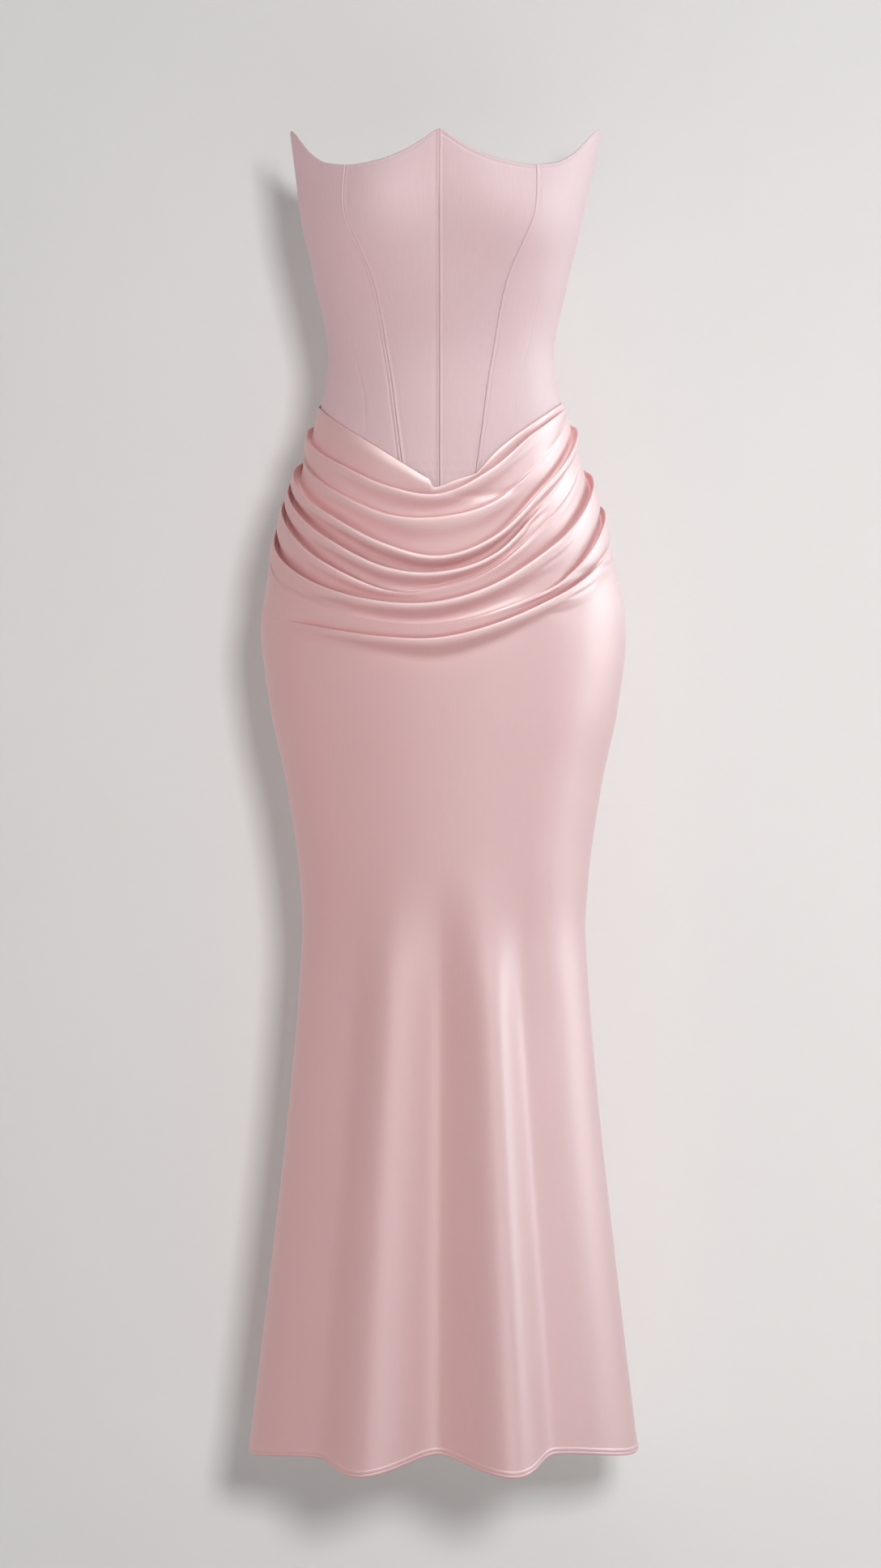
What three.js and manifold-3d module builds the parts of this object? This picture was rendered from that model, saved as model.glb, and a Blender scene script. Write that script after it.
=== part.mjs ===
// A strapless satin evening gown, hollow and filled out as if it were worn.
// A fitted corset bodice with a peaked neckline ends in a pointed waist. Below it a skirt front
// is gathered into cowl folds between the side seams, and the skirt narrows at the knee and
// flares to a fluted hem. A concealed zip closes the centre back.
//
// Millimetres. +Z is up, the front faces -Y, and the wearer's left side is +X. The origin is
// the middle of the waist. An angle on the body is measured round Z from the centre front:
// 0 is the front, 90 the wearer's left side, -90 the right side and 180 the back.
import * as THREE from "three";
import ManifoldModule from "manifold-3d";

const manifold = await ManifoldModule();
manifold.setup();
const { Manifold, CrossSection } = manifold;

// Cloth
const wallThickness = 2;
const seamGap = 0.3;
const lapGap = 0.6; // between the bodice and the skirt where they lap
const waistLap = 12; // the bodice runs this far down inside the skirt
const hemDepth = 6;
const hemThickening = 0.7;

// Levels and angles of the pieces
const sideSeamAngle = 97;
const centreBackAngle = 180;
const waistSeamZ = -40;
const waistPointDrop = 92; // from the waist seam at the sides to the point at the front
const waistPointSharpness = 1.58;
const hemZ = -1086;
const fluteStartZ = -560;
const fluteSettledZ = -1090;
const skirtEaseEndZ = -430;
const skirtEaseStartZ = -250;

// The figure's sections: half the width, and how far the front and back stand from the axis.
const sections = [
  { at: "neckline tips", z: 238, halfWidth: 158, front: 96, back: 93 },
  { at: "bust", z: 139, halfWidth: 141, front: 103, back: 94 },
  { at: "under the bust", z: 82, halfWidth: 128, front: 99, back: 88 },
  { at: "waist", z: 8, halfWidth: 114.6, front: 91, back: 79 },
  { at: "high hip", z: -74, halfWidth: 130, front: 99, back: 88 },
  { at: "upper hip", z: -156, halfWidth: 157, front: 110, back: 107 },
  { at: "hip", z: -205, halfWidth: 172, front: 115, back: 120 },
  { at: "full hip", z: -270, halfWidth: 182.5, front: 119, back: 128 },
  { at: "seat", z: -344, halfWidth: 175.5, front: 118, back: 123 },
  { at: "upper thigh", z: -426, halfWidth: 159.5, front: 114, back: 111 },
  { at: "thigh", z: -508, halfWidth: 147.4, front: 109, back: 104 },
  { at: "knee", z: -570, halfWidth: 143.2, front: 107, back: 101 },
  { at: "under the knee", z: -631, halfWidth: 146.2, front: 110, back: 105 },
  { at: "calf", z: -754, halfWidth: 156.6, front: 122, back: 119 },
  { at: "lower calf", z: -898, halfWidth: 172.4, front: 138, back: 138 },
  { at: "shin", z: -1025, halfWidth: 187.2, front: 152, back: 154 },
  { at: "hem", z: -1127, halfWidth: 199.5, front: 163, back: 166 },
];
const sectionSquareness = 2.25; // 2 is an ellipse

// The gown hangs a little to one side: how far the front and the sides are moved along X.
const lean = [
  { z: 238, front: -2.1, sides: 1.8 },
  { z: 190, front: -2.1, sides: 0 },
  { z: 139, front: -2.1, sides: -2.2 },
  { z: 8, front: -2.1, sides: -2.6 },
  { z: -74, front: -2, sides: -1.6 },
  { z: -205, front: -1, sides: -0.5 },
  { z: -400, front: 0, sides: 0.4 },
  { z: -1127, front: 0, sides: 0 },
];

// Bust cups, one on each side of the centre front.
const cup = { angle: 38, z: 140, rise: 12, halfAngle: 24, halfHeight: 50 };

// The neckline from the centre front peak over the side peaks to the level back.
const neckline = [
  { angle: 0, z: 227 },
  { angle: 3, z: 224.5 },
  { angle: 10, z: 216 },
  { angle: 20, z: 205.5 },
  { angle: 32, z: 196.5 },
  { angle: 46, z: 192 },
  { angle: 58, z: 195.5 },
  { angle: 66, z: 205 },
  { angle: 73, z: 219 },
  { angle: 79, z: 230 },
  { angle: 84, z: 234 },
  { angle: 90, z: 231 },
  { angle: 102, z: 211 },
  { angle: 120, z: 191 },
  { angle: 140, z: 185 },
  { angle: 180, z: 185 },
];

// The princess seams, which run over the cups and close in on the waist point.
const princessSeam = [
  { z: 240, angle: 48.5 },
  { z: 191, angle: 48 },
  { z: 147, angle: 45.5 },
  { z: 114, angle: 41 },
  { z: 74, angle: 36.5 },
  { z: 18, angle: 33.5 },
  { z: -31, angle: 28 },
  { z: -84, angle: 22.5 },
  { z: -130, angle: 18 },
];
const sideBackSeam = [
  { z: 240, angle: 137 },
  { z: 147, angle: 139 },
  { z: 8, angle: 149 },
  { z: -60, angle: 146 },
];

// The cowl folds from the top down. Each row gives the height of a fold's rolled edge, and how
// far that edge stands off the cloth above it, at the nine angles.
const foldAngles = [-97, -75, -50, -25, 0, 25, 50, 75, 97];
const folds = [
  {
    name: "top cowl",
    heights: [-60, -80, -105, -129, -137, -113, -73, -50, -45.5],
    stands: [5, 6, 5.5, 5, 5, 5, 5, 6, 5],
  },
  {
    name: "soft fold in the top cowl",
    heights: [-80, -103, -133, -157, -160, -146, -106, -67, -53],
    stands: [0, 1, 2.5, 3.2, 3.5, 3, 0.5, 0, 0],
  },
  {
    name: "second cowl",
    heights: [-96, -120, -155, -186, -199, -178, -125, -81, -59],
    stands: [7, 8, 9, 10, 9.5, 9, 8, 7, 6],
  },
  {
    name: "third cowl",
    heights: [-112, -137, -178, -209, -215, -196, -143, -94, -70],
    stands: [7, 8, 9, 9.5, 9.5, 7.5, 1, 0, 0],
  },
  {
    name: "right side cowl, which fades in the front",
    heights: [-128, -158, -203, -232, -231, -210, -161, -110, -84],
    stands: [7, 8, 7.5, 3, 0.5, 1.5, 2.2, 1, 0],
  },
  {
    name: "fourth cowl",
    heights: [-150, -190, -227, -244, -244, -225, -184, -131, -105],
    stands: [5, 6, 8, 10, 10, 9, 9, 8, 7],
  },
  {
    name: "left side cowl",
    heights: [-176, -216, -251, -266, -267, -254, -226, -168, -138],
    stands: [4, 1, 0, 0, 0, 0.5, 3.5, 7, 7],
  },
  {
    name: "lowest cowl",
    heights: [-232, -254, -269, -279, -280, -265, -236, -197, -170],
    stands: [0, 0.5, 4.5, 8.5, 9.5, 8.5, 6, 1, 0],
  },
];
const drapeEnd = {
  name: "where the lowest fold lies back on the skirt",
  heights: [-262, -275, -285, -301, -308, -292, -258, -232, -215],
};

// How a layer of drape runs from its rolled edge down to the pocket behind the next fold:
// the share of the way down, and the share of the fold's stand that is left there.
const layerProfile = [
  { down: 0.32, stand: 0.9 },
  { down: 0.54, stand: 0.36 },
  { down: 0.76, stand: 0.05 },
];
const crestDrop = { share: 0.16, most: 4 };
const pocketLip = { share: 0.1, most: 3 };
const seamPinch = { angle: 8, least: 0.3 }; // the side seams press the folds flat

// Flutes of the flared hem: how far each stands out, and how far its edge drops. The table
// runs past the centre back by a flute on both sides.
const flutes = [
  { angle: -202, out: -9, drop: 1 },
  { angle: -180, out: 12, drop: 14 },
  { angle: -158, out: -9, drop: 1 },
  { angle: -134, out: 13, drop: 16 },
  { angle: -110, out: -7, drop: 2 },
  { angle: -90, out: 0, drop: 7 },
  { angle: -74, out: 3, drop: 10 },
  { angle: -47, out: -10, drop: 6 },
  { angle: -26, out: 15, drop: 20 },
  { angle: -1, out: -13, drop: 0 },
  { angle: 23, out: 16, drop: 19 },
  { angle: 44, out: -11, drop: 2 },
  { angle: 74, out: 3, drop: 9 },
  { angle: 90, out: 0, drop: 6 },
  { angle: 110, out: -7, drop: 2 },
  { angle: 134, out: 13, drop: 16 },
  { angle: 158, out: -9, drop: 1 },
  { angle: 180, out: 12, drop: 14 },
  { angle: 202, out: -9, drop: 1 },
];

// Zip at the centre back. The slider is a plate with a bridge on it, and the pull's top bar
// passes through the slot under the bridge.
const zipTape = { width: 22, thickness: 0.8, lowerZ: -215, topInset: 3 };
const slider = { width: 5, height: 9, thickness: 1.6, belowTop: 14 };
const bridge = { width: 2, length: 6.4, height: 4, slotLength: 4, slotDepth: 2.6 };
const pull = { bar: 1.2, barDrop: 0.9, width: 5.6, length: 23, thickness: 1.2 };
const pullTip = { width: 3.6, sides: 8 };
const pullWindow = { width: 3.2, length: 5.4 };

// Mesh density
const bodiceRows = 16;
const frontColumns = 26;
const backColumns = 10;
const skirtRows = 15;
const backRows = 22;
const tapeRows = 16;

const satin = { color: 0xdfb4ba, roughness: 0.42, metalness: 0 };
const corsetSatin = { color: 0xe0b9c0, roughness: 0.55, metalness: 0 };
const zipCloth = { color: 0xd9adb4, roughness: 0.8, metalness: 0 };
const enamelledMetal = { color: 0xd8aab2, roughness: 0.35, metalness: 0.4 };

const radians = THREE.MathUtils.degToRad;
const clamp = THREE.MathUtils.clamp;
const mix = THREE.MathUtils.lerp;
const smooth = (from, to, x) => {
  const t = clamp((x - from) / (to - from), 0, 1);
  return t * t * (3 - 2 * t);
};

// A smooth curve through the given values. A steady one never overshoots them: its slope at
// each value is the harmonic mean of the slopes on both sides, or nothing where the values
// turn. A flowing one is rounder: its slope there is that of the parabola through three values.
function curveThrough(xs, ys, flowing = false) {
  const steps = xs.slice(1).map((x, i) => x - xs[i]);
  const rises = steps.map((h, i) => (ys[i + 1] - ys[i]) / h);
  const slopes = xs.map((_, i) => {
    if (i === 0) return rises[0];
    if (i === xs.length - 1) return rises[i - 1];
    const [before, after] = [rises[i - 1], rises[i]];
    if (flowing) {
      return (before * steps[i] + after * steps[i - 1]) / (steps[i - 1] + steps[i]);
    }
    return before * after <= 0 ? 0 : (2 * before * after) / (before + after);
  });
  return (x) => {
    const at = clamp(x, xs[0], xs[xs.length - 1]);
    let i = 0;
    while (i < xs.length - 2 && at > xs[i + 1]) i += 1;
    const h = steps[i];
    const t = (at - xs[i]) / h;
    const s = 1 - t;
    return (
      ys[i] * (1 + 2 * t) * s * s +
      ys[i + 1] * (3 - 2 * t) * t * t +
      h * (slopes[i] * t * s * s - slopes[i + 1] * s * t * t)
    );
  };
}

// One column of a table as a curve over another, in rising order.
function column(table, over, of) {
  const rows = [...table].sort((a, b) => a[over] - b[over]);
  return curveThrough(
    rows.map((row) => row[over]),
    rows.map((row) => row[of]),
  );
}

const halfWidthAt = column(sections, "z", "halfWidth");
const frontAt = column(sections, "z", "front");
const backAt = column(sections, "z", "back");
const necklineAt = column(neckline, "angle", "z");
const princessAt = column(princessSeam, "z", "angle");
const sideBackAt = column(sideBackSeam, "z", "angle");
const fluteAt = column(flutes, "angle", "out");
const hemDropAt = column(flutes, "angle", "drop");
const frontLeanAt = column(lean, "z", "front");
const sideLeanAt = column(lean, "z", "sides");

// Distance of the bodice's outer face from the axis: a squarish ellipse, plus the cups.
function girth(angle, z) {
  const across = Math.abs(Math.sin(radians(angle)));
  const along = Math.abs(Math.cos(radians(angle)));
  const depth = Math.abs(angle) < 90 ? frontAt(z) : backAt(z);
  const n = sectionSquareness;
  const section = ((across / halfWidthAt(z)) ** n + (along / depth) ** n) ** (-1 / n);
  const offAngle = (Math.abs(angle) - cup.angle) / cup.halfAngle;
  const offHeight = (z - cup.z) / cup.halfHeight;
  return section + cup.rise * Math.exp(-(offAngle ** 2) - offHeight ** 2);
}

// The skirt lies outside the bodice, eases in to the measured section below the hips, and
// stands in and out with the flutes towards the hem.
function skirtGirth(angle, z) {
  const overBodice = wallThickness + lapGap;
  const ease = overBodice * smooth(skirtEaseEndZ, skirtEaseStartZ, z);
  const opened = clamp((fluteStartZ - z) / (fluteStartZ - fluteSettledZ), 0, 1.05);
  const spread = 0.35 * smooth(0, 0.35, opened) + 0.65 * opened;
  return girth(angle, z) + ease + fluteAt(angle) * spread;
}

function skirtTop(angle) {
  const toSide = clamp(1 - Math.abs(angle) / sideSeamAngle, 0, 1);
  return waistSeamZ - waistPointDrop * toSide ** waistPointSharpness;
}

const hemAt = (angle) => hemZ - hemDropAt(angle);

function place(angle, z, distance) {
  const a = radians(angle);
  const leaning = mix(frontLeanAt(z), sideLeanAt(z), Math.sin(a) ** 2);
  return new THREE.Vector3(distance * Math.sin(a) + leaning, -distance * Math.cos(a), z);
}

// A closed wall from a grid of points. pointAt(row, column) gives the outer and inner point;
// rows run down, and columns run towards larger angles.
function wallGeometry(rows, columns, pointAt) {
  const outer = [];
  const inner = [];
  for (let row = 0; row <= rows; row += 1) {
    for (let col = 0; col <= columns; col += 1) {
      const point = pointAt(row, col);
      outer.push(point.outer);
      inner.push(point.inner);
    }
  }
  const count = outer.length;
  const at = (row, col) => row * (columns + 1) + col;
  const faces = [];
  const quad = (a, b, c, d) => faces.push(a, b, c, a, c, d);
  for (let row = 0; row < rows; row += 1) {
    for (let col = 0; col < columns; col += 1) {
      const a = at(row, col);
      const b = at(row + 1, col);
      const c = at(row + 1, col + 1);
      const d = at(row, col + 1);
      quad(a, b, c, d);
      quad(count + a, count + d, count + c, count + b);
    }
  }
  for (let col = 0; col < columns; col += 1) {
    const top = [at(0, col), at(0, col + 1)];
    const foot = [at(rows, col), at(rows, col + 1)];
    quad(top[0], top[1], count + top[1], count + top[0]);
    quad(foot[1], foot[0], count + foot[0], count + foot[1]);
  }
  for (let row = 0; row < rows; row += 1) {
    const first = [at(row, 0), at(row + 1, 0)];
    const last = [at(row, columns), at(row + 1, columns)];
    quad(first[1], first[0], count + first[0], count + first[1]);
    quad(last[0], last[1], count + last[1], count + last[0]);
  }
  const geometry = new THREE.BufferGeometry();
  geometry.setFromPoints([...outer, ...inner]);
  geometry.setIndex(faces);
  return geometry;
}

function named(name, geometry, finish) {
  const mesh = new THREE.Mesh(geometry, new THREE.MeshStandardMaterial(finish));
  mesh.name = name;
  return mesh;
}

// An edge of a panel is drawn in by half the seam's gap.
function drawnIn(angle, z, towards) {
  const shift = THREE.MathUtils.radToDeg(seamGap / 2 / girth(angle, z));
  return angle + Math.sign(towards) * shift;
}

// A bodice panel between two seams. Each seam gives its angle at a height, and side is 1 for
// the wearer's left and -1 for the right.
function bodicePanel(name, side, nearSeam, farSeam, columns) {
  const geometry = wallGeometry(bodiceRows, columns, (row, col) => {
    const across = side > 0 ? col / columns : 1 - col / columns;
    const down = row / bodiceRows;
    let z = 0;
    let angle = mix(nearSeam(z), farSeam(z), across);
    for (let pass = 0; pass < 6; pass += 1) {
      z = mix(necklineAt(angle), skirtTop(angle) - waistLap, down);
      const near = drawnIn(nearSeam(z), z, 1);
      const far = drawnIn(farSeam(z), z, -1);
      angle = mix(near, far, across);
    }
    const distance = girth(angle, z);
    return {
      outer: place(side * angle, z, distance),
      inner: place(side * angle, z, distance - wallThickness),
    };
  });
  return named(name, geometry, corsetSatin);
}

function bodice() {
  const group = new THREE.Group();
  const centreFront = () => 0;
  const sideSeam = () => sideSeamAngle;
  const centreBack = () => centreBackAngle;
  for (const [word, side] of [["left", 1], ["right", -1]]) {
    group.add(
      bodicePanel(`bodice_centre_front_${word}`, side, centreFront, princessAt, 5),
      bodicePanel(`bodice_side_front_${word}`, side, princessAt, sideSeam, 8),
      bodicePanel(`bodice_side_back_${word}`, side, sideSeam, sideBackAt, 4),
      bodicePanel(`bodice_centre_back_${word}`, side, sideBackAt, centreBack, 4),
    );
  }
  return group;
}

// The skirt front's rows from the waist seam to the hem. Each row is a pair of functions of the
// angle: its height, and how far it stands off the skirt's own girth.
function skirtFrontRows() {
  const edges = [...folds, drapeEnd].map((fold) => ({
    height: curveThrough(foldAngles, fold.heights, true),
    stand: fold.stands ? curveThrough(foldAngles, fold.stands) : () => 0,
  }));
  const pinch = (angle) => {
    const inside = sideSeamAngle - Math.abs(angle);
    return mix(seamPinch.least, 1, smooth(0, seamPinch.angle, inside));
  };
  const rows = [{ height: skirtTop, stand: () => 0 }];
  let above = { height: skirtTop, stand: () => 0 };
  for (const edge of edges) {
    const upper = above;
    const gap = (angle) => upper.height(angle) - edge.height(angle);
    if (upper !== rows[0] && rows.length > 1) {
      rows.push({
        height: (a) => upper.height(a) - Math.min(crestDrop.most, crestDrop.share * gap(a)),
        stand: (a) => upper.stand(a) * pinch(a),
      });
      for (const step of layerProfile) {
        rows.push({
          height: (a) => upper.height(a) - step.down * gap(a),
          stand: (a) => step.stand * upper.stand(a) * pinch(a),
        });
      }
    }
    rows.push({
      height: (a) => edge.height(a) + Math.min(pocketLip.most, pocketLip.share * gap(a)),
      stand: () => 0,
    });
    above = edge;
  }
  for (let step = 1; step <= skirtRows; step += 1) {
    const down = step / skirtRows;
    rows.push({
      height: (a) => mix(above.height(a), hemAt(a) + hemDepth + 1, down),
      stand: () => 0,
    });
  }
  rows.push({ height: (a) => hemAt(a) + hemDepth, stand: () => hemThickening });
  rows.push({ height: hemAt, stand: () => hemThickening });
  return rows;
}

function skirtBackRows() {
  const rows = [];
  for (let step = 0; step <= backRows; step += 1) {
    const down = step / backRows;
    rows.push({
      height: (a) => mix(waistSeamZ, hemAt(a) + hemDepth + 1, down),
      stand: () => 0,
    });
  }
  rows.push({ height: (a) => hemAt(a) + hemDepth, stand: () => hemThickening });
  rows.push({ height: hemAt, stand: () => hemThickening });
  return rows;
}

// A skirt panel between two angles, from its rows.
function skirtPanel(name, rows, fromAngle, toAngle, columns) {
  const geometry = wallGeometry(rows.length - 1, columns, (row, col) => {
    const rough = mix(fromAngle, toAngle, col / columns);
    const z = rows[row].height(rough);
    const from = drawnIn(fromAngle, z, 1);
    const to = drawnIn(toAngle, z, -1);
    const angle = mix(from, to, col / columns);
    const base = skirtGirth(angle, z);
    return {
      outer: place(angle, z, base + rows[row].stand(angle)),
      inner: place(angle, z, base + rows[row].stand(angle) - wallThickness),
    };
  });
  return named(name, geometry, satin);
}

function skirt() {
  const group = new THREE.Group();
  const frontRows = skirtFrontRows();
  const back = skirtBackRows();
  group.add(
    skirtPanel("skirt_front", frontRows, -sideSeamAngle, sideSeamAngle, frontColumns),
    skirtPanel("skirt_back_left", back, sideSeamAngle, centreBackAngle, backColumns),
    skirtPanel("skirt_back_right", back, -centreBackAngle, -sideSeamAngle, backColumns),
  );
  return group;
}

// The zip's two tapes with the closed coil between them, as one strip that lies inside the
// centre back of the bodice and then of the skirt.
function zipTapeMesh() {
  const topZ = necklineAt(centreBackAngle) - zipTape.topInset;
  const lapEnd = waistSeamZ - waistLap;
  const geometry = wallGeometry(tapeRows, 2, (row, col) => {
    const z = mix(topZ, zipTape.lowerZ, row / tapeRows);
    const insideSkirt = (wallThickness + seamGap) * smooth(lapEnd - 6, lapEnd - 30, z);
    const distance = girth(centreBackAngle, z) - wallThickness - 2 * seamGap + insideSkirt;
    const spread = THREE.MathUtils.radToDeg(zipTape.width / 2 / distance);
    const angle = centreBackAngle + mix(-spread, spread, col / 2);
    return {
      outer: place(angle, z, distance),
      inner: place(angle, z, distance - zipTape.thickness),
    };
  });
  return named("zip_tape", geometry, zipCloth);
}

// A box from its size and the middle of its side nearest the cloth: y runs out from the cloth.
function block(width, depth, height, fromCloth, z) {
  return Manifold.cube([width, depth, height], true).translate([0, fromCloth + depth / 2, z]);
}

function solidGeometry(solid) {
  const mesh = solid.getMesh();
  const geometry = new THREE.BufferGeometry();
  geometry.setAttribute("position", new THREE.BufferAttribute(mesh.vertProperties, 3));
  geometry.setIndex(new THREE.BufferAttribute(mesh.triVerts, 1));
  return geometry;
}

// The slider's plate lies on the closed seam, with the slotted bridge standing on it.
function sliderMesh(clothY, z) {
  const plate = block(slider.width, slider.thickness, slider.height, clothY, z);
  const plateY = clothY + slider.thickness;
  const arch = block(bridge.width, bridge.height, bridge.length, plateY, z);
  const slot = block(2 * bridge.width, bridge.slotDepth, bridge.slotLength, plateY, z);
  return named("zip_slider", solidGeometry(plate.add(arch).subtract(slot)), enamelledMetal);
}

// The pull hangs from its top bar, which turns in the slot. It narrows to a rounded tip.
function pullMesh(barY, barZ) {
  const half = pull.width / 2;
  const halfTip = pullTip.width / 2;
  const top = pull.bar / 2;
  const shoulder = -top - pullWindow.length;
  const tipCentre = top - pull.length + halfTip;
  const tip = Array.from({ length: pullTip.sides + 1 }, (_, i) => {
    const turn = Math.PI * (1 + i / pullTip.sides);
    return [halfTip * Math.cos(turn), tipCentre + halfTip * Math.sin(turn)];
  });
  const left = [[-half, top], [-half, shoulder]];
  const right = [[half, shoulder], [half, top]];
  const plate = new CrossSection([...left, ...tip, ...right]);
  const window = CrossSection.square([pullWindow.width, pullWindow.length], true);
  const solid = plate
    .subtract(window.translate([0, shoulder + pullWindow.length / 2]))
    .extrude(pull.thickness)
    .rotate([90, 0, 0])
    .translate([0, barY + pull.thickness / 2, barZ]);
  return named("zip_pull", solidGeometry(solid), enamelledMetal);
}

function zip() {
  const z = necklineAt(centreBackAngle) - slider.belowTop;
  const leaning = frontLeanAt(z);
  const clothY = girth(centreBackAngle, z) + seamGap;
  const barY = clothY + slider.thickness + bridge.slotDepth / 2;
  const group = new THREE.Group();
  const metal = [sliderMesh(clothY, z), pullMesh(barY, z - pull.barDrop)];
  metal.forEach((mesh) => mesh.geometry.translate(leaning, 0, 0));
  group.add(zipTapeMesh(), ...metal);
  return group;
}

export default new THREE.Group().add(bodice(), skirt(), zip());
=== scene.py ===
"""A strapless satin evening gown, hollow and filled out as if it were worn.

The bodice is cut in eight corset panels and closes with a concealed zip. The skirt front hangs
in rolled cowl folds between the side seams. Sizes in the tables are millimetres and degrees:
an angle is measured round Z from the centre front, with the wearer's left side at 90 degrees
and the right side at -90. Height is Z, and the waist is at zero.
"""

import math

import bpy
import numpy as np
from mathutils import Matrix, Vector


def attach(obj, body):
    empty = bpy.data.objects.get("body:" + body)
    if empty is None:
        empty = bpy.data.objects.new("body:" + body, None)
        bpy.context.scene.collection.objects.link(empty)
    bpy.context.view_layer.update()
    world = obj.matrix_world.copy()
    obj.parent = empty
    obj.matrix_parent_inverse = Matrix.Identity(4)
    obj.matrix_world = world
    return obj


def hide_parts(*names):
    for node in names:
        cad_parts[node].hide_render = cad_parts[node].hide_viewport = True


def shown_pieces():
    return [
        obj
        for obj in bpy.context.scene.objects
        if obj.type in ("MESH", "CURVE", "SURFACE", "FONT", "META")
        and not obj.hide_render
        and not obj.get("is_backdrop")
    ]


bl_info = {
    "name": "Strapless Evening Gown",
    "version": (1, 0, 0),
    "blender": (4, 5, 0),
    "location": "View3D > Sidebar > Gown",
    "description": "Builds a strapless satin gown with cowl folds and its studio",
    "category": "Object",
}

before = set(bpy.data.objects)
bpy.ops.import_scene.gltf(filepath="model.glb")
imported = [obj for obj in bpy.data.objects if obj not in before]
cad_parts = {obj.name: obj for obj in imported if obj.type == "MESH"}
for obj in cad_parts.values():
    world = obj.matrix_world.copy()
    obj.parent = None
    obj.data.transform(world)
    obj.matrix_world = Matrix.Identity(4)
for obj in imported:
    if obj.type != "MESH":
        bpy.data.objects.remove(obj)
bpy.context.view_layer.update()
MM = 0.001
BODY = "gown"

# Levels and angles
SIDE_SEAM = 97.0
CENTRE_BACK = 180.0
WAIST_SEAM = -40.0
WAIST_POINT_DROP = 92.0
WAIST_POINT_SHARPNESS = 1.58
HEM_LEVEL = -1086.0
FLUTE_START, FLUTE_SETTLED = -500.0, -1090.0
EASE_END, EASE_START = -430.0, -250.0
OVER_BODICE = 2.6
SEAM_LIP = 0.3
SQUARENESS = 2.25
CUP = {"angle": 38.0, "z": 140.0, "rise": 12.0, "half_angle": 24.0, "half_height": 50.0}


def table(names, rows):
    """A table as one array for each named column, from rows of numbers."""
    return dict(zip(names.split(), np.array(rows, dtype=float).T))


SECTIONS = table(
    "z half_width front back",
    [
        (-1127, 199.5, 163, 166),
        (-1025, 187.2, 152, 154),
        (-898, 172.4, 138, 138),
        (-754, 156.6, 122, 119),
        (-631, 146.2, 110, 105),
        (-570, 143.2, 107, 101),
        (-508, 147.4, 109, 104),
        (-426, 159.5, 114, 111),
        (-344, 175.5, 118, 123),
        (-270, 182.5, 119, 128),
        (-205, 172, 115, 120),
        (-156, 157, 110, 107),
        (-74, 130, 99, 88),
        (8, 114.6, 91, 79),
        (82, 128, 99, 88),
        (139, 141, 103, 94),
        (238, 158, 96, 93),
    ],
)

# The gown hangs a little to one side: how far the front and the sides are moved along X.
LEAN = table(
    "z front sides",
    [
        (-1127, 0, 0),
        (-400, 0, 0.4),
        (-205, -1, -0.5),
        (-74, -2, -1.6),
        (8, -2.1, -2.6),
        (139, -2.1, -2.2),
        (190, -2.1, 0),
        (238, -2.1, 1.8),
    ],
)

NECKLINE = table(
    "angle z",
    [
        (0, 227), (3, 224.5), (10, 216), (20, 205.5), (32, 196.5), (46, 192), (58, 195.5),
        (66, 205), (73, 219), (79, 230), (84, 234), (90, 231), (102, 211), (120, 191),
        (140, 185), (180, 185),
    ],
)

PRINCESS_SEAM = table(
    "z angle",
    [
        (-130, 18), (-84, 22.5), (-31, 28), (18, 33.5), (74, 36.5), (114, 41), (147, 45.5),
        (191, 48), (240, 48.5),
    ],
)
SIDE_BACK_SEAM = table("z angle", [(-60, 146), (8, 149), (147, 139), (240, 137)])
DART = table("z angle", [(-75, 41), (-46, 43), (-13, 49), (20, 55), (67, 57)])

# The flutes round the skirt: how far each ridge or valley stands out at the hem, and how far the
# hem's edge drops there.
FLUTES = table(
    "angle out drop",
    [
        (-202, -9, 1), (-180, 12, 14), (-158, -9, 1), (-134, 13, 16), (-110, -7, 2),
        (-90, 0, 7), (-74, 3, 10), (-47, -12, 6), (-26, 13, 20), (-1, -18, 0), (23, 22, 19),
        (44, -15, 2), (74, 3, 9), (90, 0, 6), (110, -7, 2), (134, 13, 16), (158, -9, 1),
        (180, 12, 14), (202, -9, 1),
    ],
)

# Top edge of the skirt front. The right band passes over the left one at the point, and the
# left one leaves it lower and flatter.
WAIST_EDGE = table(
    "angle z",
    [
        (-97, -40), (-77, -47), (-65, -56), (-48, -73.2), (-34, -89), (-20, -105.5),
        (-8, -119.6), (-4.7, -123.4), (-3.0, -130.6), (0, -129.6), (7, -124), (14, -120),
        (19, -116.5), (23, -109), (27, -100), (33, -89.5), (46, -71), (59, -56), (71, -46),
        (82, -41), (97, -40),
    ],
)

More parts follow.
